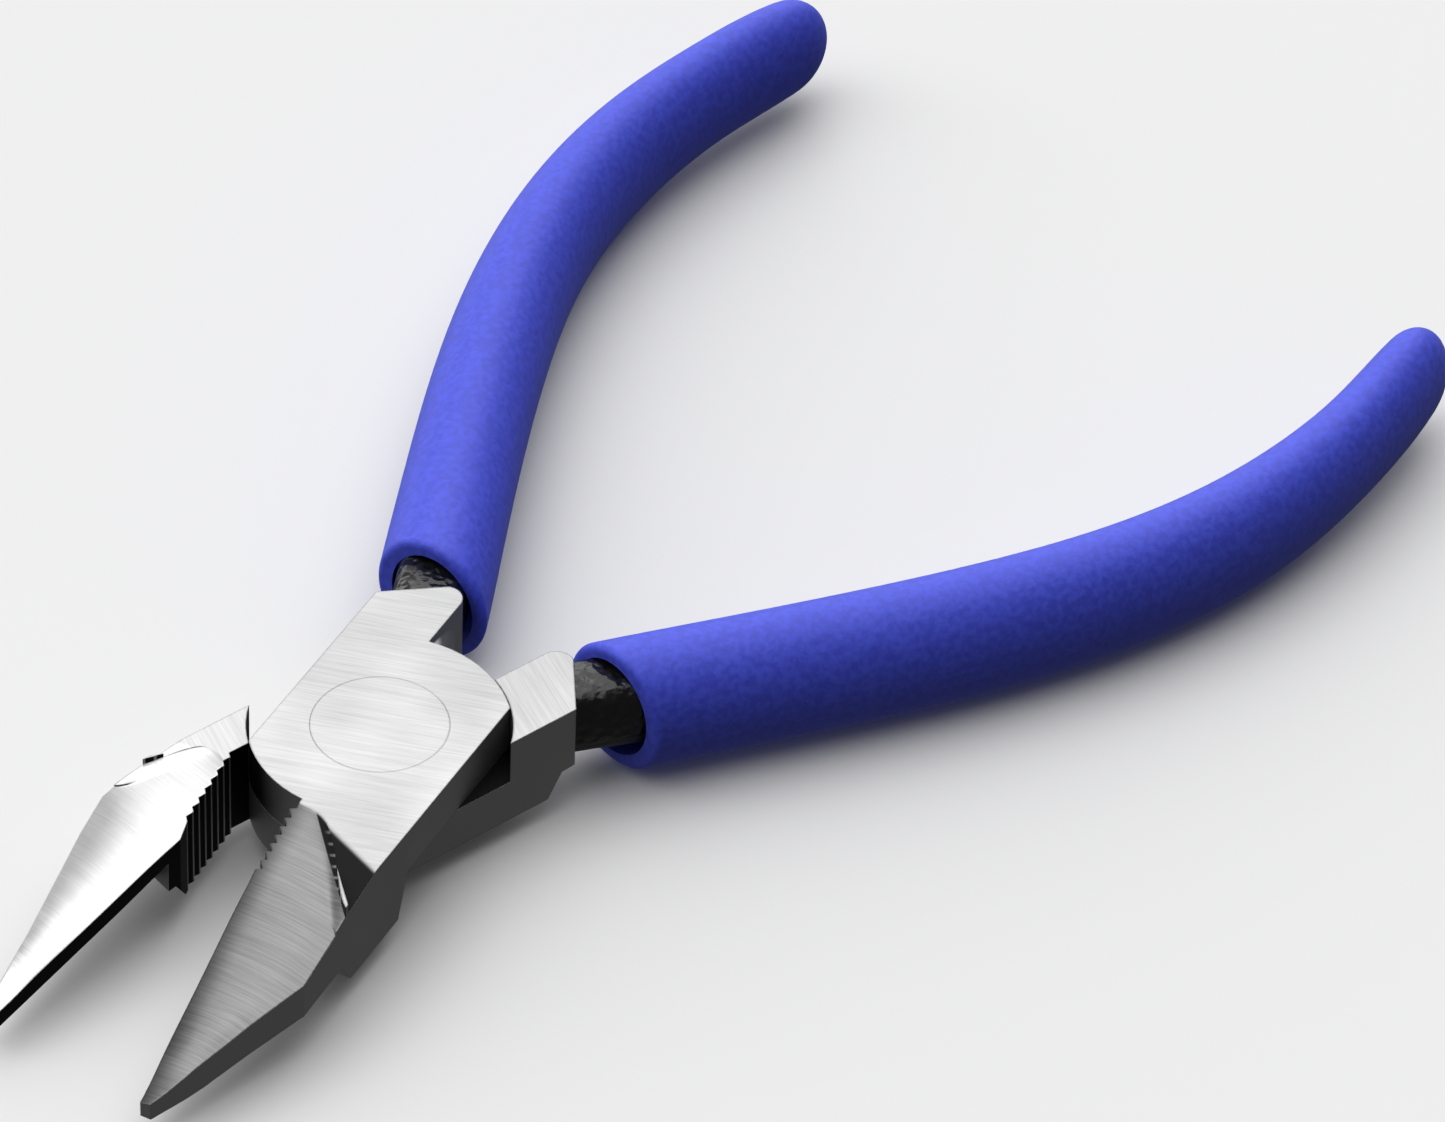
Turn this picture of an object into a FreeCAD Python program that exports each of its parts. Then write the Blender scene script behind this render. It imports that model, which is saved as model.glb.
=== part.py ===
"""Sprue nippers with a lap joint, toothed jaw roots, tapered cutting jaws and sleeved handles.

Row frame: the origin is where the pivot axis meets the flat underside of the joint, +Z runs up
the pivot axis and +X runs along the tool's centre line towards the jaw tips. Every half is drawn
in its closed position and then turned about the pivot by its Placement to the resting opening.
The upper half carries the top plate of the lap joint, its jaw on the +Y side and its handle on
the -Y side. The lower half is its mirror image, with the bottom plate. Lengths are millimetres.

The cutting edges meet on a line that leans across the centre line: y = 0.108 (x - 27) in the
upper half's own frame. They touch when the halves' centre lines are still 1.8 degrees apart, so
each half's slope and zero_x below describe the same closing line, and the tool closes by
21.2 degrees from the resting opening, although the halves would be in line after 23.
"""
import FreeCAD, Part
import math
import os

import Sketcher

Vec = FreeCAD.Vector
DOC = FreeCAD.newDocument("SprueNippers")

# ---------------------------------------------------------------- driving dimensions
DIMENSIONS = [
    # joint
    ("thickness", 9.0),            # across the joint, face to face
    ("plate_radius", 11.4),        # rounded edge of each lap plate
    ("plate_half_width", 8.7),     # straight side of each lap plate
    ("shoulder_gap", 0.06),        # between a plate's rounded edge and the other half's shoulder
    ("lap_gap", 0.02),             # between the two lap faces
    ("half_opening", 11.5),        # each half's turn from closed to rest, degrees
    # rivet
    ("shank_radius", 4.0),
    ("head_radius", 6.0),
    ("head_depth", 2.2),
    ("foot_radius", 5.2),
    ("foot_depth", 1.6),
    ("running_gap", 0.03),
    # jaw
    ("edge_gap", 0.02),            # each cutting edge stops this short of the closing line
    ("tip_x", 43.0),
    ("tip_width", 1.0),
    ("root_front_x", 20.3),
    ("land_height", 1.1),          # upright land left under the cutting edge
    # teeth
    ("tooth_first_x", 12.4),
    ("tooth_pitch", 1.0),
    ("tooth_count", 8),
    ("tooth_depth", 0.5),
    ("facet_overlap", 0.1),        # how far the facet's cut runs into the bevel's
    # neck
    ("neck_inner_y", 1.5),
    ("neck_round_x", 17.0),
    ("neck_end_x", 18.4),
    ("neck_end_y", 3.5),
    ("neck_outer_x", 14.6),
    # handle
    ("grip_wall", 1.3),
    ("lip_radius", 0.6),
    ("mouth_slant", 0.5),          # the sleeve's mouth leans back this far per unit outwards
    ("mouth_lead", 1.0),           # mouth centre ahead of the run's first point
    ("dome_length", 5.4),
    ("tang_reach", 0.9),           # share of the handle's run that the coated tang fills
    ("coat_depth", 0.35),          # dipped coat on the tang
]
# Control points of the handle's centre line in plan, closed, measured back from the pivot.
HANDLE_RUN = [(21.4, 6.7), (59.1, 20.9), (76.0, 27.7), (105.6, 16.2)]
# The sleeve's oval at shares of its run: half width in plan, half height, height of its centre.
GRIP_OVALS = [
    (0.0, 5.2, 6.3, 4.3),
    (0.33, 4.9, 6.4, 4.0),
    (0.67, 4.2, 6.2, 3.95),
    (1.0, 3.3, 5.3, 4.3),
]

SHEET = DOC.addObject("Spreadsheet::Sheet", "Dimensions")
for row, (alias, value) in enumerate(DIMENSIONS, start=1):
    SHEET.set(f"A{row}", alias)
    SHEET.set(f"B{row}", str(value))
    SHEET.setAlias(f"B{row}", alias)
DOC.recompute()


def dim(alias):
    """The value of one spreadsheet cell, by its alias."""
    return float(SHEET.get(alias))


def cell(alias):
    """The expression that reads one spreadsheet cell as a length."""
    return f"Dimensions.{alias} * 1 mm"


# ---------------------------------------------------------------- sketch and body helpers
def origin_plane(body, role):
    return next(f for f in body.Origin.OriginFeatures if f.Role == role)


def new_sketch(body, name, role, edges):
    """A sketch on one of the body's origin planes, holding the given lines and arcs."""
    sketch = body.newObject("Sketcher::SketchObject", name)
    sketch.AttachmentSupport = [(origin_plane(body, role), "")]
    sketch.MapMode = "FlatFace"
    for edge in edges:
        sketch.addGeometry(edge, False)
    return sketch


def line(a, b):
    return Part.LineSegment(Vec(*a, 0), Vec(*b, 0))


def arc(a, middle, b):
    return Part.Arc(Vec(*a, 0), Vec(*middle, 0), Vec(*b, 0))


def chain(points):
    """Straight edges through a list of points."""
    return [line(a, b) for a, b in zip(points, points[1:])]


def circle_sketch(body, name, radius_expression):
    """A circle round the pivot axis whose radius is bound to the spreadsheet."""
    sketch = new_sketch(body, name, "XY_Plane", [])
    index = sketch.addGeometry(Part.Circle(Vec(0, 0, 0), Vec(0, 0, 1), 5.0), False)
    sketch.addConstraint(Sketcher.Constraint("Coincident", index, 3, -1, 1))
    size = sketch.addConstraint(Sketcher.Constraint("Radius", index, 5.0))
    sketch.setExpression(f"Constraints[{size}]", radius_expression)
    return sketch


def lift(sketch, z_expression):
    """Raises a sketch from its origin plane."""
    sketch.setExpression("AttachmentOffset.Base.z", z_expression)


def pocket(body, name, sketch, depth_expression, upwards):
    """Cuts the sketch out of the body and stops the script if nothing was cut."""
    DOC.recompute()
    before = body.Shape.Volume
    cut = body.newObject("PartDesign::Pocket", name)
    cut.Profile = sketch
    cut.setExpression("Length", depth_expression)
    cut.Reversed = upwards
    DOC.recompute()
    if body.Shape.Volume > before - 0.01:
        raise RuntimeError(f"{name} cut nothing")
    return cut


# ---------------------------------------------------------------- forged halves
def polar(radius, degrees):
    angle = math.radians(degrees)
    return (radius * math.cos(angle), radius * math.sin(angle))


class Jaw:
    """What differs between the two jaws, in their own half's frame as if on the +Y side."""

    def __init__(self, side, slope, zero_x, crest_root, crest_front, outer, bevel_start, facet):
        self.side = side
        self.slope = slope              # closing line, along which the two cutting edges meet
        self.zero_x = zero_x
        self.crest_root = crest_root    # tooth crests next to the joint and at the front
        self.crest_front = crest_front
        self.outer = outer              # outer wall's corners from the root to the tip
        self.bevel_start = bevel_start  # where the bevel begins, on the jaw's inner side
        self.facet = facet              # inner corner, then two corners past the outer wall

    def edge_y(self, x):
        """The cutting edge's distance from the half's centre line."""
        return self.slope * (x - self.zero_x) + dim("edge_gap")


JAW_UPPER = Jaw(
    side=1, slope=0.108, zero_x=27.0, crest_root=-1.6, crest_front=-0.75,
    outer=[(28.0, 8.7), (33.4, 6.5), (39.7, 4.2)],
    bevel_start=(11.0, -3.0, 9.1),
    facet=[(12.25, 1.36, 9.02), (16.0, 9.4, 9.02), (21.3, 9.4, 7.9)])
JAW_LOWER = Jaw(
    side=-1, slope=-0.1394, zero_x=20.92, crest_root=4.4, crest_front=0.6,
    outer=[(23.0, 8.7), (26.5, 7.0), (31.0, 4.4), (36.0, 1.5)],
    bevel_start=(12.0, 1.2, 9.5),
    facet=[(13.4, 6.6, 9.02), (14.9, 9.4, 9.02), (20.0, 9.7, 8.2)])


def tooth_line(jaw):
    """Saw teeth along the root block's inner face: the steep flanks face the joint."""
    x, pitch, depth = dim("tooth_first_x"), dim("tooth_pitch"), dim("tooth_depth")
    count = int(dim("tooth_count"))
    points = []
    for i in range(count):
        crest = jaw.crest_root + (jaw.crest_front - jaw.crest_root) * i / count
        points.append((x + pitch * i, crest + depth))
        points.append((x + pitch * (i + 0.25), crest))
    return points


def plan_outline(jaw):
    """Plan of one half, closed, turned over for the lower half."""
    radius, half, side = dim("plate_radius"), dim("plate_half_width"), jaw.side
    corner = math.degrees(math.asin(half / radius))
    inner_y = dim("neck_inner_y")
    heel = 180 + math.degrees(math.asin(inner_y / radius))
    throat = math.degrees(math.asin((jaw.crest_root + dim("tooth_depth")) / radius))
    tip_x, front_x = dim("tip_x"), dim("root_front_x")
    round_x, end_x, end_y = dim("neck_round_x"), dim("neck_end_x"), dim("neck_end_y")

    def put(point):
        return (point[0], side * point[1])

    rear_corner, front_corner = polar(radius, 180 - corner), polar(radius, -corner)
    heel_point, throat_point = polar(radius, heel), polar(radius, throat)
    tip = (tip_x, jaw.edge_y(tip_x))
    edges = chain([put(p) for p in [
        tip, (tip_x, jaw.edge_y(tip_x) + dim("tip_width")), *reversed(jaw.outer), rear_corner]])
    rear_middle = polar(radius, (180 - corner + heel) / 2)
    front_middle = polar(radius, (throat - corner) / 2)
    neck_start, neck_end = (-round_x, -inner_y), (-end_x, -end_y)
    neck_middle = (0.3 - end_x, -inner_y - 0.6)
    edges.append(arc(put(rear_corner), put(rear_middle), put(heel_point)))
    edges.append(line(put(heel_point), put(neck_start)))
    edges.append(arc(put(neck_start), put(neck_middle), put(neck_end)))
    edges += chain([put(p) for p in [neck_end, (-dim("neck_outer_x"), -half), front_corner]])
    edges.append(arc(put(front_corner), put(front_middle), put(throat_point)))
    edges += chain([put(p) for p in [
        throat_point, *tooth_line(jaw), (front_x, jaw.crest_front),
        (front_x + 0.9, jaw.edge_y(front_x + 0.9)), tip]])
    return edges


# Underside of the jaw in side view: the root block's sloping front, then the thinned jaw.
UNDERSIDE = [(20.2, 0.0), (21.8, 2.5), (28.3, 2.2), (33.0, 1.4), (38.0, 0.6), (43.5, 0.2)]
# Underside of the neck in side view: a short ground bevel that rises to the tang.
NECK_UNDERSIDE = [(-11.7, 0.0), (-13.2, 2.4), (-20.0, 2.9)]


def forged_body(name, jaw):
    """The half as a padded plan with its lap, bore, head seat and thinned underside cut in."""
    body = DOC.addObject("PartDesign::Body", name + "_blank")
    plan = new_sketch(body, name + "_plan", "XY_Plane", plan_outline(jaw))
    pad = body.newObject("PartDesign::Pad", name + "_pad")
    pad.Profile = plan
    pad.setExpression("Length", cell("thickness"))
    DOC.recompute()

    upper = jaw.side > 0
    lap = circle_sketch(body, name + "_lap_circle",
                        "(Dimensions.plate_radius + Dimensions.shoulder_gap) * 1 mm")
    if upper:
        pocket(body, name + "_lap", lap,
               "(Dimensions.thickness + Dimensions.lap_gap) / 2 * 1 mm", True)
    else:
        lift(lap, cell("thickness"))
        pocket(body, name + "_lap", lap,
               "(Dimensions.thickness + Dimensions.lap_gap) / 2 * 1 mm", False)

    gap = "" if upper else " + Dimensions.running_gap"
    bore = circle_sketch(body, name + "_bore_circle", f"(Dimensions.shank_radius{gap}) * 1 mm")
    pocket(body, name + "_bore", bore, cell("thickness"), True)
    if upper:
        seat = circle_sketch(body, name + "_seat_circle", cell("head_radius"))
        lift(seat, cell("thickness"))
        pocket(body, name + "_seat", seat, cell("head_depth"), False)
    else:
        clear = dim("running_gap")
        profile = chain([(0.0, -1.0), (dim("foot_radius") + clear, -1.0),
                         (dim("foot_radius") + clear, 0.0),
                         (dim("shank_radius") + clear, dim("foot_depth") + clear),
                         (0.0, dim("foot_depth") + clear), (0.0, -1.0)])
        sink = new_sketch(body, name + "_countersink_profile", "XZ_Plane", profile)
        groove = body.newObject("PartDesign::Groove", name + "_countersink")
        groove.Profile = sink
        groove.ReferenceAxis = (sink, ["V_Axis"])
        groove.Angle = 360
        before = body.Shape.Volume
        DOC.recompute()
        if body.Shape.Volume > before - 0.01:
            raise RuntimeError(f"{name} countersink cut nothing")

    low = -1.0
    edges = []
    for profile in (UNDERSIDE, NECK_UNDERSIDE):
        first, last = profile[0], profile[-1]
        edges += chain([(first[0], low), *profile, (last[0], low), (first[0], low)])
    below = new_sketch(body, name + "_underside_profile", "XZ_Plane", edges)
    cut = body.newObject("PartDesign::Pocket", name + "_underside")
    cut.Profile = below
    cut.Type = 1
    cut.Midplane = True
    before = body.Shape.Volume
    DOC.recompute()
    if body.Shape.Volume > before - 0.01:
        raise RuntimeError(f"{name} underside cut nothing")
    return body


def flip(points, side):
    return [(x, side * y, z) for x, y, z in points]


# The bevel ground over the jaw: x, then its height at the cutting edge, half way and at the wall.
BEVEL = [
    (24.0, 6.75, 7.35, 6.6),
    (28.3, 5.55, 6.2, 5.55),
    (33.0, 4.2, 4.95, 4.5),
    (38.0, 2.85, 3.55, 3.4),
    (43.5, 1.35, 1.9, 2.0),
]


def outer_y(jaw, x):
    """The outer wall's distance from the half's centre line."""
    corners = [(0.0, dim("plate_half_width")), *jaw.outer,
               (dim("tip_x"), jaw.edge_y(dim("tip_x")) + dim("tip_width")), (50.0, jaw.edge_y(50.0))]
    for (x0, y0), (x1, y1) in zip(corners, corners[1:]):
        if x0 <= x <= x1:
            return y0 + (y1 - y0) * (x - x0) / (x1 - x0)
    return 0.0


def between(a, b, share):
    return a + (b - a) * share


def bevel_cutter(jaw):
    """Everything above the ground bevel, a crowned surface from its start line to past the tip.

    The start line runs level to the facet's inner corner and then down the facet's edge.
    """
    beyond = 0.9
    start, corner, low = (Vec(*p) for p in flip([jaw.bevel_start, jaw.facet[0], jaw.facet[2]], jaw.side))
    grid = [[start, between(start, corner, 0.5), corner, between(corner, low, 0.5), low]]
    for x, inner_z, crown, wall_z in BEVEL:
        ends = [(x, jaw.edge_y(x) - beyond, inner_z), (x, outer_y(jaw, x) + beyond, wall_z)]
        first, last = (Vec(*p) for p in flip(ends, jaw.side))
        rise = crown - (first.z + last.z) / 2
        grid.append([between(first, last, t) + Vec(0, 0, 4 * rise * t * (1 - t))
                     for t in (0, 0.25, 0.5, 0.75, 1)])
    # One more row, half way to the first full one, keeps the surface from folding there.
    grid.insert(1, [between(a, b, 0.5) for a, b in zip(grid[0], grid[1])])
    surface = Part.BSplineSurface()
    surface.interpolate(grid)
    return surface.toShape().extrude(Vec(0, 0, dim("thickness")))


def facet_cutter(jaw):
    """A prism over a sloping three-cornered facet beside the bevel, which it runs into a little."""
    top = dim("thickness") + 4
    overlap = Vec(dim("facet_overlap"), 0, 0)
    corner, high_side, low_side = (Vec(*p) for p in flip(jaw.facet, jaw.side))
    low = [corner + overlap, high_side, low_side + overlap]
    high = [Vec(p.x, p.y, top) for p in low]

    def face(*points):
        return Part.Face(Part.makePolygon([*points, points[0]]))

    sides = [face(low[i], low[(i + 1) % 3], high[(i + 1) % 3], high[i]) for i in range(3)]
    return Part.makeSolid(Part.makeShell([face(*low), face(*high), *sides]))


def edge_relief_cutter(jaw):
    """The hollow under the cutting edge, run out against the root block."""
    land, low = dim("land_height"), -0.6
    wires = []
    for x, edge_z in ((22.6, 7.2), (28.3, 5.5), (43.6, 1.4)):
        top = edge_z - land
        inner = jaw.edge_y(x) - 0.3
        reach = 0.75 * (top - low)
        corners = flip([(x, inner, top), (x, inner, low), (x, inner + reach, low)], jaw.side)
        points = [Vec(*p) for p in corners]
        wires.append(Part.makePolygon([*points, points[0]]))
    return Part.makeLoft(wires, True, True)


def shoulder_cutter():
    """Opens the upper half's lap shoulder towards its outer wall."""
    wires = []
    for z, outer_x in ((-0.2, 12.5), (dim("thickness") / 2 + 0.01, 10.5)):
        corners = [Vec(6.0, 9.5, z), Vec(outer_x, 9.5, z), Vec(10.35, 5.0, z), Vec(6.0, 5.0, z)]
        wires.append(Part.makePolygon([*corners, corners[0]]))
    return Part.makeLoft(wires, True, True)


def solid_feature(name, shape):
    feature = DOC.addObject("Part::Feature", name)
    feature.Shape = shape
    return feature


def turn(obj, side):
    """Opens a sub-part from its closed position about the pivot axis."""
    opening = FreeCAD.Rotation(Vec(0, 0, 1), side * dim("half_opening"))
    obj.Placement = FreeCAD.Placement(Vec(0, 0, 0), opening)
    return obj


def cut_feature(name, base, cutter):
    """Base minus the cutter, as a Part::Cut that stops the script if it removes nothing."""
    cut = DOC.addObject("Part::Cut", name)
    cut.Base, cut.Tool = base, cutter
    cut.Refine = False
    DOC.recompute()
    if cut.Shape.isNull() or not cut.Shape.isValid() or cut.Shape.Volume > base.Shape.Volume - 0.01:
        raise RuntimeError(f"{name} did not cut")
    return cut


# ---------------------------------------------------------------- handles
def on_run(share):
    """Point and direction of the handle's centre line at a share of its run, for the upper half."""
    p = [Vec(-x, -y, dim("thickness") / 2) for x, y in HANDLE_RUN]
    t, u = share, 1 - share
    if share < 0:
        return p[0] + (p[1] - p[0]) * (3 * t), (p[1] - p[0]).normalize()
    point = p[0] * u**3 + p[1] * (3 * t * u * u) + p[2] * (3 * t * t * u) + p[3] * t**3
    tangent = (p[1] - p[0]) * (u * u) + (p[2] - p[1]) * (2 * t * u) + (p[3] - p[2]) * (t * t)
    return point, tangent.normalize()


def grip_oval(share):
    """The sleeve's half width, half height and centre height at a share of its run."""
    share = min(max(share, 0.0), 1.0)
    for low, high in zip(GRIP_OVALS, GRIP_OVALS[1:]):
        if share <= high[0]:
            part = (share - low[0]) / (high[0] - low[0])
            return [a + (b - a) * part for a, b in zip(low[1:], high[1:])]
    return list(GRIP_OVALS[-1][1:])


def frame_at(share, height):
    """Centre, sideways direction and tangent of the handle's run, with its centre at a height."""
    centre, tangent = on_run(share)
    centre.z = height
    return centre, Vec(0, 0, 1).cross(tangent), tangent


def oval_ring(centre, sideways, across, upright, squareness=2.0, points=24):
    """A closed upright ring: an ellipse at squareness 2.0, squarer above that."""
    ring = []
    for i in range(points):
        angle = 2 * math.pi * i / points
        c, s = math.cos(angle), math.sin(angle)
        ring.append(centre
                    + sideways * (across * math.copysign(abs(c) ** (2 / squareness), c))
                    + Vec(0, 0, upright * math.copysign(abs(s) ** (2 / squareness), s)))
    curve = Part.BSplineCurve()
    curve.interpolate(Points=ring, PeriodicFlag=True)
    return Part.Wire(curve.toShape())


def domed_run(first, last, shrink, count=12):
    """An oval bar along the run, smaller than the sleeve by shrink, with a domed end."""
    wires = []
    for i in range(count):
        share = first + (last - first) * i / (count - 1)
        across, upright, height = grip_oval(share)
        centre, sideways, _ = frame_at(share, height)
        wires.append(oval_ring(centre, sideways, across - shrink, upright - shrink))
    across, upright, height = grip_oval(last)
    centre, sideways, tangent = frame_at(last, height)
    for degrees in (22, 42, 60, 74, 84):
        ahead, scale = math.sin(math.radians(degrees)), math.cos(math.radians(degrees))
        wires.append(oval_ring(centre + tangent * ((dim("dome_length") - shrink) * ahead), sideways,
                               (across - shrink) * scale, (upright - shrink) * scale))
    return Part.makeLoft(wires, True, False)


def mirrored(shape, side):
    """The upper half's shape, or its mirror image for the lower half."""
    if side > 0:
        return shape
    return shape.mirror(Vec(0, 0, 0), Vec(0, 1, 0))


def sleeve_shape():
    """The handle's slip-on sleeve: a bent oval tube with a rolled mouth and a domed, closed end."""
    outer = domed_run(-0.12, 1.0, 0.0)
    start, sideways, tangent = frame_at(0.0, 0.0)
    mouth = start - tangent * dim("mouth_lead")
    slant = (tangent - sideways * dim("mouth_slant")).normalize()
    block_size = 40.0
    block_corner = Vec(-block_size / 2, -block_size / 2, -block_size)
    block = Part.makeBox(block_size, block_size, block_size, block_corner)
    block.Placement = FreeCAD.Placement(mouth, FreeCAD.Rotation(Vec(0, 0, 1), slant))
    outer = outer.cut(block)

    def on_mouth(vertex):
        return abs((vertex.Point - mouth).dot(slant)) < 0.01

    lip = [e for e in outer.Edges if all(on_mouth(v) for v in e.Vertexes)]
    outer = outer.makeFillet(dim("lip_radius"), lip)
    hollow = domed_run(-0.12, dim("tang_reach"), dim("grip_wall"))
    return outer.cut(hollow)


def neck_prism():
    """The ground neck and joint in plan, which the coat stops against."""
    half, inner = dim("plate_half_width") + 2, dim("neck_inner_y") - 1.5
    round_x, end_x, end_y = dim("neck_round_x"), dim("neck_end_x"), dim("neck_end_y")
    outer_x, outer_y = dim("neck_outer_x"), dim("plate_half_width")
    slope = (end_x - outer_x) / (outer_y - end_y)
    inner_y = dim("neck_inner_y")
    edges = [
        arc((-round_x, -inner_y), (0.3 - end_x, -inner_y - 0.6), (-end_x, -end_y)),
        *chain([(-end_x, -end_y), (slope * (half - outer_y) - outer_x, -half), (0, -half), (0, -inner),
                (-round_x, -inner), (-round_x, -inner_y)]),
    ]
    wire = Part.Wire(Part.__sortEdges__([e.toShape() for e in edges]))
    return Part.Face(wire).extrude(Vec(0, 0, dim("thickness") + 4)).translated(Vec(0, 0, -2))


def tang_bar(shrink):
    """Squarish where it leaves the neck, slim through the sleeve's mouth, oval and snug inside."""
    snug = dim("grip_wall") + 0.12 + shrink
    wires = []
    for share, across, upright, height, squareness in (
            (-0.09, 3.2, 3.4, 5.3, 3.4), (-0.04, 3.3, 3.5, 5.2, 3.2), (0.02, 3.4, 3.9, 4.8, 2.8)):
        centre, sideways, _ = frame_at(share, height)
        wires.append(oval_ring(centre, sideways, across - shrink, upright - shrink, squareness))
    reach = dim("tang_reach") - shrink / 85
    for i in range(9):
        share = 0.12 + (reach - 0.12) * i / 8
        across, upright, height = grip_oval(share)
        centre, sideways, _ = frame_at(share, height)
        wires.append(oval_ring(centre, sideways, across - snug, upright - snug))
    return Part.makeLoft(wires, True, False)


def coat_shape():
    """The dipped coat on the tang, from the ground neck to the tang's end."""
    coat = tang_bar(0.0).cut(tang_bar(dim("coat_depth"))).cut(neck_prism())
    return max(coat.Solids, key=lambda solid: solid.Volume)


def handle(name, side):
    """The dipped coat and the sleeve of one half."""
    made = []
    for label, shape in ((name + "_tang_coat", coat_shape()), (name + "_grip_sleeve", sleeve_shape())):
        feature = solid_feature(label, mirrored(shape, side))
        feature.Label = label
        made.append(turn(feature, side))
    return made


# ---------------------------------------------------------------- halves
def jaw_half(name, jaw):
    """One forging: joint plate, neck and jaw, with the tang that the handle hides."""
    cutters = {
        "bevel": bevel_cutter(jaw),
        "facet": facet_cutter(jaw),
        "relief": edge_relief_cutter(jaw),
    }
    if jaw.side > 0:
        cutters["shoulder"] = shoulder_cutter()
    ground = forged_body(name, jaw)
    for step, shape in cutters.items():
        cutter = solid_feature(f"{name}_{step}_cutter", shape)
        ground = cut_feature(f"{name}_{step}", ground, cutter)
    tang = solid_feature(name + "_tang", mirrored(tang_bar(dim("coat_depth")), jaw.side))
    forging = DOC.addObject("Part::Fuse", name)
    forging.Base, forging.Tool = ground, tang
    forging.Label = name
    return turn(forging, jaw.side)


# ---------------------------------------------------------------- rivet
def rivet():
    """The pivot rivet: a flat head let into the upper plate, a shank, and a flared foot."""
    head = DOC.addObject("Part::Cylinder", "rivet_head")
    head.setExpression("Radius", cell("head_radius"))
    head.setExpression("Height", cell("head_depth"))
    head.setExpression("Placement.Base.z", "(Dimensions.thickness - Dimensions.head_depth) * 1 mm")
    shank = DOC.addObject("Part::Cylinder", "rivet_shank")
    shank.setExpression("Radius", cell("shank_radius"))
    shank.setExpression("Height", "(Dimensions.thickness - Dimensions.head_depth) * 1 mm")
    foot = DOC.addObject("Part::Cone", "rivet_foot")
    foot.setExpression("Radius1", cell("foot_radius"))
    foot.setExpression("Radius2", cell("shank_radius"))
    foot.setExpression("Height", cell("foot_depth"))
    whole = DOC.addObject("Part::MultiFuse", "pivot_rivet")
    whole.Shapes = [head, shank, foot]
    whole.Refine = True
    whole.Label = "pivot_rivet"
    return turn(whole, 1)


# ---------------------------------------------------------------- assembly and export
SUBPARTS = [
    jaw_half("upper_jaw_half", JAW_UPPER),
    jaw_half("lower_jaw_half", JAW_LOWER),
    rivet(),
    *handle("upper", 1),
    *handle("lower", -1),
]
DOC.recompute()

for obj in DOC.Objects:
    if any(state in obj.State for state in ("Invalid", "Error")):
        raise RuntimeError(f"{obj.Name} failed: {obj.State}")
os.makedirs("parts", exist_ok=True)
for obj in SUBPARTS:
    shape = obj.Shape
    if shape.isNull() or not shape.isValid() or not shape.Solids:
        raise RuntimeError(f"{obj.Label} has no valid solid")
    shape.exportStep(f"parts/{obj.Label}.step")
    box = shape.BoundBox
    print(f"{obj.Label}: {len(shape.Solids)} solid, {shape.Volume:.1f} mm3, "
          f"{box.XLength:.1f} x {box.YLength:.1f} x {box.ZLength:.1f} mm")
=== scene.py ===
import math

import bpy
from mathutils import Matrix, Vector


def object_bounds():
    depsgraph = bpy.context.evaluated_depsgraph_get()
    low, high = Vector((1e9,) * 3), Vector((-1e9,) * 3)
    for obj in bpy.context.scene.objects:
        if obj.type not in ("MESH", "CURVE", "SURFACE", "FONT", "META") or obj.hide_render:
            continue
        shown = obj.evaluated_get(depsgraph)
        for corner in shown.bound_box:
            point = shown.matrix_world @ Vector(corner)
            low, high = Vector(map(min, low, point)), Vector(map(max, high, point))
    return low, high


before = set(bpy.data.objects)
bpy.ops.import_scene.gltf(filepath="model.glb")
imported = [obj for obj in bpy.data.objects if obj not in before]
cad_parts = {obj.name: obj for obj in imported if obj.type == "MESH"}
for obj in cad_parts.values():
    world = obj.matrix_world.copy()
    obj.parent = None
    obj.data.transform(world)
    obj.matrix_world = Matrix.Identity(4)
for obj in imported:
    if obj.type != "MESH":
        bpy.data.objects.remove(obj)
CAD_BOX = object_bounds()
MM = 0.001

# ---------------------------------------------------------------- the object's driving sizes
HALF_OPENING = math.radians(11.5)      # each half's turn from closed to rest
SIDES = {"upper": 1, "lower": -1}      # the upper half's jaw is on +Y when closed
JOINT_TOP = 9.0 * MM
LAP_LEVEL = 4.5 * MM
PLATE_RADIUS = 11.4 * MM
RIVET_RADIUS = 6.0 * MM

# ---------------------------------------------------------------- camera
CAMERA_AZIMUTH = math.radians(127.63)  # 0 looks along +Y
CAMERA_ELEVATION = math.radians(41.64)
CAMERA_ROLL = math.radians(-2.54)
CAMERA_DISTANCE = 0.6887
AIM_RIGHT, AIM_UP = 0.02953, 0.01734   # from the pivot to the middle of the view
LENS, SENSOR = 199.3, 36.0


def make_camera():
    """The product view: from above the jaws, looking back over the joint to the handles."""
    az, el, roll = CAMERA_AZIMUTH, CAMERA_ELEVATION, CAMERA_ROLL
    ahead = Vector((-math.sin(az) * math.cos(el), math.cos(az) * math.cos(el), -math.sin(el)))
    level = Vector((math.cos(az), math.sin(az), 0))
    down = ahead.cross(level)
    right = level * math.cos(roll) + down * math.sin(roll)
    up = -(down * math.cos(roll) - level * math.sin(roll))
    aim = Vector((0, 0, LAP_LEVEL)) + right * AIM_RIGHT + up * AIM_UP
    place = aim - ahead * CAMERA_DISTANCE
    data = bpy.data.cameras.new("camera")
    data.lens, data.sensor_width, data.sensor_fit = LENS, SENSOR, "HORIZONTAL"
    data.clip_start, data.clip_end = 0.01, 20
    camera = bpy.data.objects.new("camera", data)
    bpy.context.scene.collection.objects.link(camera)
    turn = Matrix((right, up, -ahead)).transposed().to_4x4()
    camera.matrix_world = Matrix.Translation(place) @ turn
    bpy.context.scene.camera = camera


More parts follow.
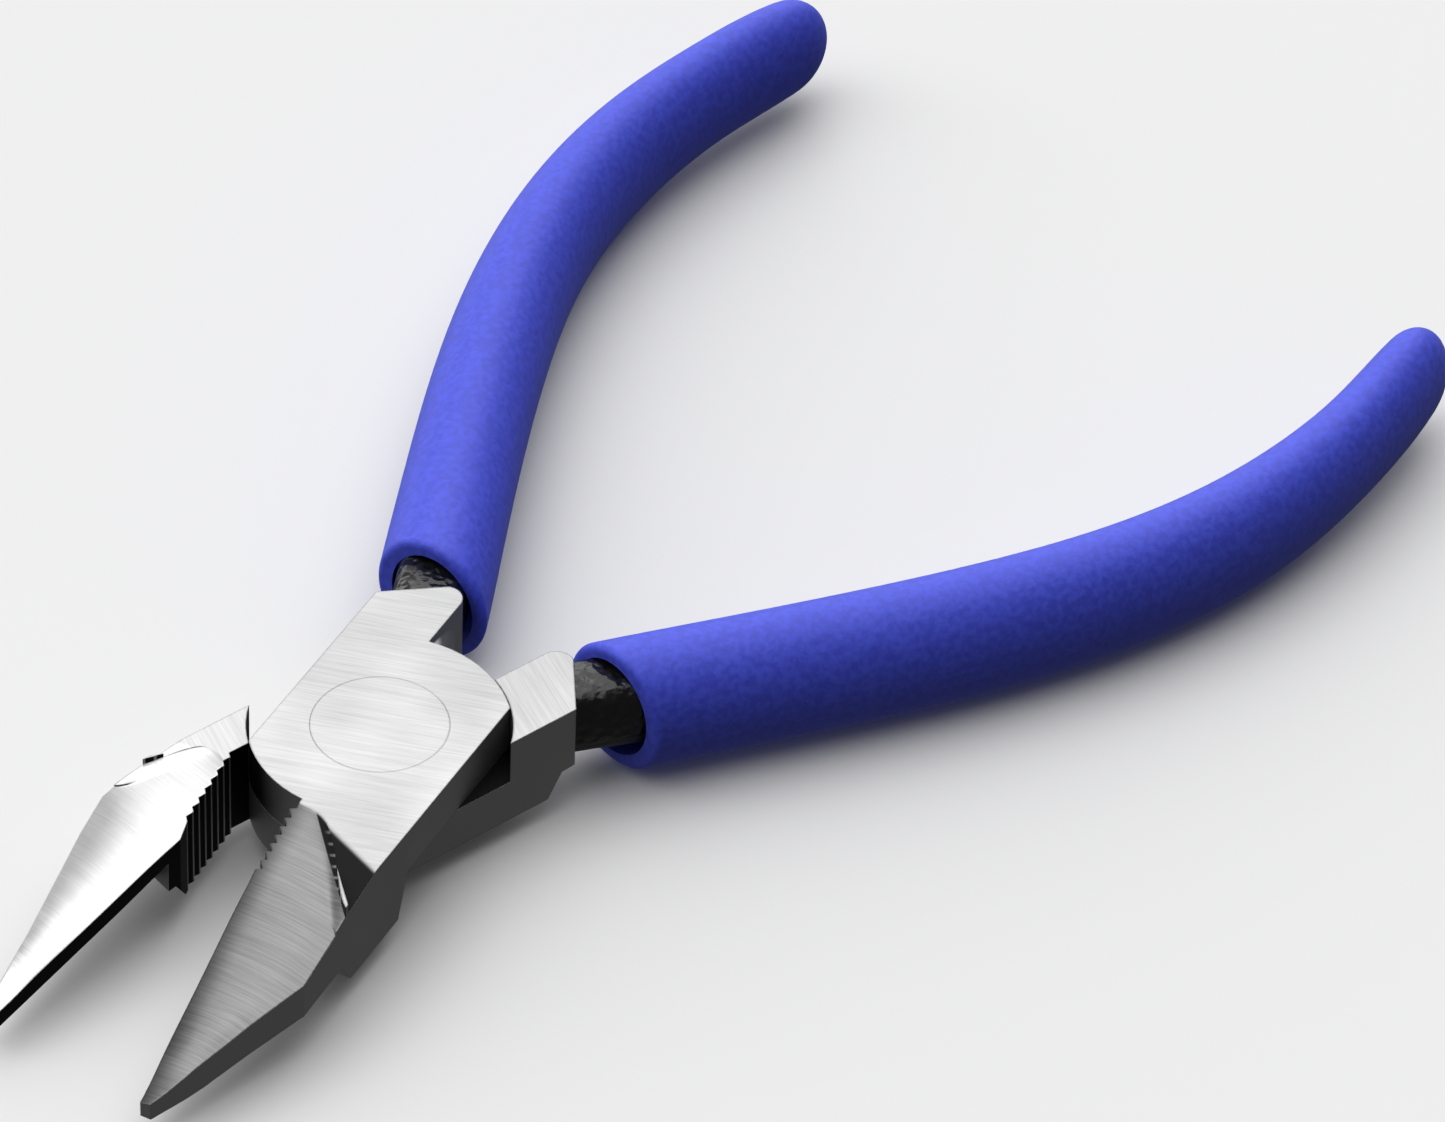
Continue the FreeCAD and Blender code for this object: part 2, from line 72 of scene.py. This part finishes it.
# ---------------------------------------------------------------- shader helper
class Shader:
    """A node material built by short calls. Values are sockets or plain numbers."""

    def __init__(self, name):
        self.material = bpy.data.materials.new(name)
        self.material.use_nodes = True
        self.tree = self.material.node_tree
        self.surface = self.tree.nodes["Principled BSDF"]
        self.place = self.node("ShaderNodeTexCoord")

    def node(self, kind, **settings):
        made = self.tree.nodes.new(kind)
        for key, value in settings.items():
            setattr(made, key, value)
        return made

    def plug(self, socket, value):
        if isinstance(value, bpy.types.NodeSocket):
            self.tree.links.new(value, socket)
        else:
            socket.default_value = value

    def set(self, name, value):
        self.plug(self.surface.inputs[name], value)

    def math(self, operation, a, b=0.0, clamp=False):
        made = self.node("ShaderNodeMath", operation=operation, use_clamp=clamp)
        self.plug(made.inputs[0], a)
        self.plug(made.inputs[1], b)
        return made.outputs[0]

    def ramp(self, value, low, high, start=0.0, end=1.0):
        """value mapped smoothly from low..high to start..end."""
        made = self.node("ShaderNodeMapRange", interpolation_type="SMOOTHSTEP")
        for index, item in enumerate((value, low, high, start, end)):
            self.plug(made.inputs[index], item)
        return made.outputs[0]

    def mix(self, share, a, b):
        made = self.node("ShaderNodeMix", data_type="RGBA")
        self.plug(made.inputs[0], share)
        self.plug(made.inputs[6], a)
        self.plug(made.inputs[7], b)
        return made.outputs[2]

    def blend(self, share, a, b):
        """Numbers a to b by share."""
        made = self.node("ShaderNodeMix", data_type="FLOAT")
        self.plug(made.inputs[0], share)
        self.plug(made.inputs[2], a)
        self.plug(made.inputs[3], b)
        return made.outputs[0]

    def mapped(self, vector, turn=0.0, scale=(1, 1, 1)):
        """vector turned about Z, then scaled."""
        turned = self.node("ShaderNodeVectorRotate", rotation_type="Z_AXIS")
        self.plug(turned.inputs["Vector"], vector)
        turned.inputs["Angle"].default_value = turn
        scaled = self.node("ShaderNodeVectorMath", operation="MULTIPLY")
        self.plug(scaled.inputs[0], turned.outputs[0])
        scaled.inputs[1].default_value = scale
        return scaled.outputs[0]

    def noise(self, vector, scale, detail=2.0, rough=0.5):
        made = self.node("ShaderNodeTexNoise")
        self.plug(made.inputs["Vector"], vector)
        made.inputs["Scale"].default_value = scale
        made.inputs["Detail"].default_value = detail
        made.inputs["Roughness"].default_value = rough
        return made.outputs["Fac"]

    def cells(self, vector, scale, smooth=0.6):
        made = self.node("ShaderNodeTexVoronoi", feature="SMOOTH_F1")
        self.plug(made.inputs["Vector"], vector)
        made.inputs["Scale"].default_value = scale
        made.inputs["Smoothness"].default_value = smooth
        return made.outputs["Distance"]

    def parts(self, vector):
        made = self.node("ShaderNodeSeparateXYZ")
        self.plug(made.inputs[0], vector)
        return made.outputs

    def bump(self, height, depth, strength=1.0, normal=None):
        made = self.node("ShaderNodeBump")
        made.inputs["Strength"].default_value = strength
        made.inputs["Distance"].default_value = depth
        self.plug(made.inputs["Height"], height)
        if normal is not None:
            self.plug(made.inputs["Normal"], normal)
        return made.outputs[0]


def grey(level):
    return (level, level, level, 1)


# ---------------------------------------------------------------- materials
# Run of the grinding lines, from +X in the closed half, on the flat faces and on the jaw's bevel.
PLATE_BRUSH, BEVEL_BRUSH = math.radians(105), math.radians(86)
EDGE_SLOPE = 0.108                     # lean of the upper half's cutting edge, closed
TOOTH_FIRST, TOOTH_PITCH, TOOTH_COUNT = 12.4 * MM, 1.0 * MM, 8
# The upper half's facet lies between two lines in plan: a point and a direction each; it is painted
# black, a painted dark reflection.
# Its mask runs FACET_SPILL past the second line, and each border is FACET_SOFT wide either side.
FACET_SPILL, FACET_SOFT = 0.40 * MM, 0.05 * MM
FACET_LINES = [((12.25 * MM, 1.36 * MM), (3.75, 8.04)), ((12.25 * MM, 1.36 * MM), (9.05, 8.04))]


def brush_pattern(g, closed, turn):
    """Fine and broad grinding lines, 0 to 1."""
    fine = g.noise(g.mapped(closed, turn, (160, 5200, 400)), 1.0, 4.0, 0.65)
    broad = g.noise(g.mapped(closed, turn, (40, 1300, 120)), 1.0, 3.0, 0.6)
    return g.math("ADD", g.math("MULTIPLY", fine, 0.7), g.math("MULTIPLY", broad, 0.3))


def beside(g, x, y, point, direction):
    """Signed distance of x, y from a line in plan, positive on its right."""
    length = math.hypot(*direction)
    across = g.math("MULTIPLY", g.math("SUBTRACT", x, point[0]), direction[1] / length)
    along = g.math("MULTIPLY", g.math("SUBTRACT", y, point[1]), direction[0] / length)
    return g.math("SUBTRACT", across, along)


def from_pivot(g, x, y):
    """Distance of x, y from the pivot axis."""
    return g.math("SQRT", g.math("ADD", g.math("MULTIPLY", x, x), g.math("MULTIPLY", y, y)))


def plate_colour(g, brush, cloud):
    """The joint's brushed grey, a little lighter in clouds."""
    darker = g.mix(brush, grey(0.20), grey(0.54))
    lighter = g.mix(brush, grey(0.28), grey(0.66))
    return g.mix(g.ramp(cloud, 0.35, 0.65), darker, lighter)


def ground_steel(name, side):
    """Forged steel with ground, brushed upper faces, grey satin walls and a dark lap, with painted shade
    on the throat, on the upper jaw's bevel and on its facet, and painted highlights on the tooth crests.
    """
    g = Shader(name)
    closed = g.mapped(g.place.outputs["Object"], -side * HALF_OPENING)
    facing = g.mapped(g.place.outputs["Normal"], -side * HALF_OPENING)
    x, y, z = g.parts(closed)
    _, ny, nz = g.parts(facing)
    inward = g.math("MULTIPLY", ny, -side)
    radius = from_pivot(g, x, y)

    top = g.ramp(nz, 0.55, 0.75)
    near_lap = g.math("MULTIPLY", g.ramp(z, LAP_LEVEL + 0.4 * MM, LAP_LEVEL + 0.2 * MM),
                      g.ramp(radius, PLATE_RADIUS + 0.6 * MM, PLATE_RADIUS + 0.2 * MM))
    lap = g.math("MULTIPLY", near_lap, top)
    # Painted shade: the jaw's inward faces, which face the other half, are made near-black.
    throat = g.math("MULTIPLY", g.ramp(inward, 0.2, 0.6), g.ramp(x, 6 * MM, 8 * MM))
    dark = g.math("MAXIMUM", lap, throat)
    sunk = g.ramp(z, JOINT_TOP - 0.02 * MM, JOINT_TOP - 0.12 * MM)
    bevel = g.math("MULTIPLY", g.math("MULTIPLY", sunk, top), g.ramp(x, 10 * MM, 11 * MM))
    if side > 0:
        # Painted reflection: the facet on the upper jaw's bevel is made near-black.
        (start, front), (_, back) = FACET_LINES
        facet = g.math("MULTIPLY", g.ramp(beside(g, x, y, start, front), -FACET_SOFT, FACET_SOFT),
                       g.ramp(beside(g, x, y, start, back),
                              FACET_SPILL + FACET_SOFT, FACET_SPILL - FACET_SOFT))
        facet = g.math("MULTIPLY", facet, bevel)
        dark = g.math("MAXIMUM", dark, facet)

    brush = g.blend(bevel, brush_pattern(g, closed, -side * PLATE_BRUSH),
                    brush_pattern(g, closed, -side * BEVEL_BRUSH))
    cloud = g.noise(closed, 60.0, 2.0)
    grain = g.noise(closed, 5200.0, 2.0)

    rounded = g.node("ShaderNodeBevel", samples=6)
    rounded.inputs["Radius"].default_value = 0.22 * MM

    plate = plate_colour(g, brush, cloud)
    if side > 0:
        # Painted shade: the upper jaw's bevel is painted darker than the lower jaw's, most of all beside
        # its cutting edge.
        edge_shade = g.ramp(g.math("SUBTRACT", y, g.math("MULTIPLY", x, EDGE_SLOPE)), -3.2 * MM, -0.6 * MM)
        ground = g.mix(brush, grey(0.07), grey(0.34))
        ground = g.mix(edge_shade, g.mix(brush, grey(0.03), grey(0.12)), ground)
    else:
        ground = g.mix(brush, grey(0.40), grey(0.80))
    bright = g.mix(bevel, plate, ground)
    wall = g.mix(cloud, grey(0.34), grey(0.48))
    colour = g.mix(top, wall, bright)
    # Painted highlight: in the throat, the tooth crests are made light grey and the grooves between them
    # near-black painted shade.
    phase = g.math("FRACT", g.math("DIVIDE", g.math("SUBTRACT", x, TOOTH_FIRST), TOOTH_PITCH))
    rib = g.ramp(g.math("ABSOLUTE", g.math("SUBTRACT", phase, 0.25)), 0.05, 0.18, 1.0, 0.0)
    toothed = g.math("MULTIPLY", g.math("GREATER_THAN", x, TOOTH_FIRST),
                     g.math("LESS_THAN", x, TOOTH_FIRST + TOOTH_COUNT * TOOTH_PITCH))
    crest_highlight = g.math("MULTIPLY", g.math("MULTIPLY", rib, toothed), throat)
    black = g.mix(crest_highlight, grey(0.015), grey(0.6))
    # The dark lap, and the painted shade and highlights of the throat and facet, replace the steel colour
    # here.
    g.set("Base Color", g.mix(dark, colour, black))
    g.set("Metallic", 1.0)
    smooth = g.blend(brush, 0.26, 0.42)
    rough = g.blend(top, 0.48, smooth)
    g.set("Roughness", g.blend(dark, rough, 0.55))
    lines = g.bump(brush, 0.012 * MM, 0.8, rounded.outputs[0])
    specks = g.bump(grain, 0.006 * MM, 0.6, rounded.outputs[0])
    normal = g.node("ShaderNodeMix", data_type="VECTOR")
    g.plug(normal.inputs[0], top)
    g.plug(normal.inputs[4], specks)
    g.plug(normal.inputs[5], lines)
    g.set("Normal", normal.outputs[1])
    return g.material


def rivet_steel(name):
    """The rivet: ground flush with the upper plate, its rim a faint dark ring."""
    g = Shader(name)
    closed = g.mapped(g.place.outputs["Object"], -HALF_OPENING)
    x, y, _ = g.parts(closed)
    radius = from_pivot(g, x, y)
    brush = brush_pattern(g, closed, -PLATE_BRUSH)
    cloud = g.noise(closed, 60.0, 2.0)
    ring = g.ramp(radius, RIVET_RADIUS - 0.12 * MM, RIVET_RADIUS - 0.04 * MM, 0.0, 0.22)
    plate = plate_colour(g, brush, cloud)
    g.set("Base Color", g.mix(ring, plate, grey(0.12)))
    g.set("Metallic", 1.0)
    g.set("Roughness", g.blend(brush, 0.26, 0.42))
    g.set("Normal", g.bump(brush, 0.012 * MM, 0.8))
    return g.material


SMOOTH_BELOW = 3.2 * MM                # the coat has no wrinkles under this height


def black_coat(name):
    """Glossy black dipped coat, with a coarse, wrinkled skin above and a smoother side below."""
    g = Shader(name)
    place = g.place.outputs["Object"]
    bend = g.noise(place, 900.0, 2.0)
    warp = g.node("ShaderNodeVectorMath", operation="ADD")
    g.plug(warp.inputs[0], place)
    shift = g.node("ShaderNodeVectorMath", operation="SCALE")
    shift.inputs[0].default_value = (1, 1, 1)
    g.plug(shift.inputs["Scale"], g.math("MULTIPLY", bend, 0.6 * MM))
    g.plug(warp.inputs[1], shift.outputs[0])
    lumps = g.cells(warp.outputs[0], 1150.0, 0.35)
    z = g.parts(place)[2]
    skin = g.ramp(z, SMOOTH_BELOW, SMOOTH_BELOW + 0.6 * MM)
    g.set("Base Color", g.mix(skin, grey(0.012), g.mix(bend, grey(0.003), grey(0.008))))
    g.set("Roughness", g.blend(skin, 0.45, g.blend(bend, 0.14, 0.30)))
    g.set("Normal", g.bump(g.math("MULTIPLY", lumps, skin), 0.22 * MM, 0.9))
    return g.material


def blue_vinyl(name):
    """Soft royal blue vinyl: a fine pebbled skin with a faint bloom."""
    g = Shader(name)
    place = g.place.outputs["Object"]
    cloud = g.noise(place, 140.0, 3.0)
    pebble = g.noise(place, 1500.0, 3.0, 0.55)
    dimple = g.cells(place, 1300.0, 0.8)
    skin = g.math("ADD", g.math("MULTIPLY", pebble, 0.6), g.math("MULTIPLY", dimple, 0.4))
    base = g.mix(cloud, (0.038, 0.056, 0.60, 1), (0.046, 0.068, 0.66, 1))
    g.set("Base Color", g.mix(g.ramp(pebble, 0.35, 0.65), base, (0.060, 0.088, 0.76, 1)))
    g.set("Roughness", g.blend(pebble, 0.50, 0.66))
    g.set("Sheen Weight", 0.12)
    g.set("Sheen Roughness", 0.5)
    g.set("Sheen Tint", (0.55, 0.62, 1.0, 1))
    g.set("Normal", g.bump(skin, 0.10 * MM, 0.6))
    return g.material


def floor_material():
    """Pale studio paper."""
    g = Shader("floor_paper")
    drift = g.noise(g.place.outputs["Object"], 3.0, 2.0)
    g.set("Base Color", g.mix(drift, grey(0.80), grey(0.82)))
    g.set("Roughness", 0.9)
    g.set("Specular IOR Level", 0.0)
    return g.material


def finish_nodes():
    """Gives every CAD node its material."""
    finishes = {
        "upper_jaw_half": ground_steel("upper_steel", 1),
        "lower_jaw_half": ground_steel("lower_steel", -1),
        "pivot_rivet": rivet_steel("rivet_ground"),
    }
    coat, vinyl = black_coat("tang_coat"), blue_vinyl("sleeve_vinyl")
    for half in SIDES:
        finishes[half + "_tang_coat"] = coat
        finishes[half + "_grip_sleeve"] = vinyl
    for node, material in finishes.items():
        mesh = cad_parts[node]
        for held in mesh.material_slots:
            held.link = "OBJECT"
            held.material = material
        if not mesh.material_slots:
            mesh.data.materials.append(material)


# ---------------------------------------------------------------- studio
KEY_FROM = (-0.15, -0.60, 0.75)        # the broad light comes from above, behind and the left
KEY_LEVEL, FILL_LEVEL = 2.1, 0.10
CARD_FROM = (-0.07, -0.86, 0.50)       # a dark card that the near jaw's bevel mirrors


def softbox_surround():
    """A tent of light, bright towards the key, dim towards the camera, with one dark card."""
    world = bpy.data.worlds.new("surround")
    bpy.context.scene.world = world
    world.use_nodes = True
    tree = world.node_tree
    place = tree.nodes.new("ShaderNodeTexCoord")

    def toward(direction):
        made = tree.nodes.new("ShaderNodeVectorMath")
        made.operation = "DOT_PRODUCT"
        made.inputs[1].default_value = Vector(direction).normalized()
        tree.links.new(place.outputs["Generated"], made.inputs[0])
        return made.outputs["Value"]

    def ramp(value, low, high, start, end):
        made = tree.nodes.new("ShaderNodeMapRange")
        made.interpolation_type = "SMOOTHSTEP"
        tree.links.new(value, made.inputs[0])
        for index, item in enumerate((low, high, start, end), start=1):
            made.inputs[index].default_value = item
        return made.outputs[0]

    tent = ramp(toward(KEY_FROM), 0.2, 0.85, FILL_LEVEL, KEY_LEVEL)
    card = ramp(toward(CARD_FROM), 0.86, 0.97, 1.0, 0.25)
    product = tree.nodes.new("ShaderNodeMath")
    product.operation = "MULTIPLY"
    tree.links.new(tent, product.inputs[0])
    tree.links.new(card, product.inputs[1])
    tree.links.new(product.outputs[0], tree.nodes["Background"].inputs["Strength"])
    tree.nodes["Background"].inputs["Color"].default_value = (1, 1, 1, 1)


def studio():
    """Pale floor under the object and the softbox tent round it."""
    size, level = 3.0, CAD_BOX[0][2]
    corners = [(-size, -size), (size, -size), (size, size), (-size, size)]
    mesh = bpy.data.meshes.new("floor")
    mesh.from_pydata([(x, y, level) for x, y in corners], [], [(0, 1, 2, 3)])
    mesh.materials.append(floor_material())
    floor = bpy.data.objects.new("floor", mesh)
    bpy.context.scene.collection.objects.link(floor)
    # The paper throws no light back up at the object, so the sides away from the key stay dark.
    floor.visible_diffuse = False
    floor.visible_glossy = False
    softbox_surround()
    bpy.context.scene.view_settings.view_transform = "Standard"
    bpy.context.scene.view_settings.look = "None"


make_camera()
finish_nodes()
studio()
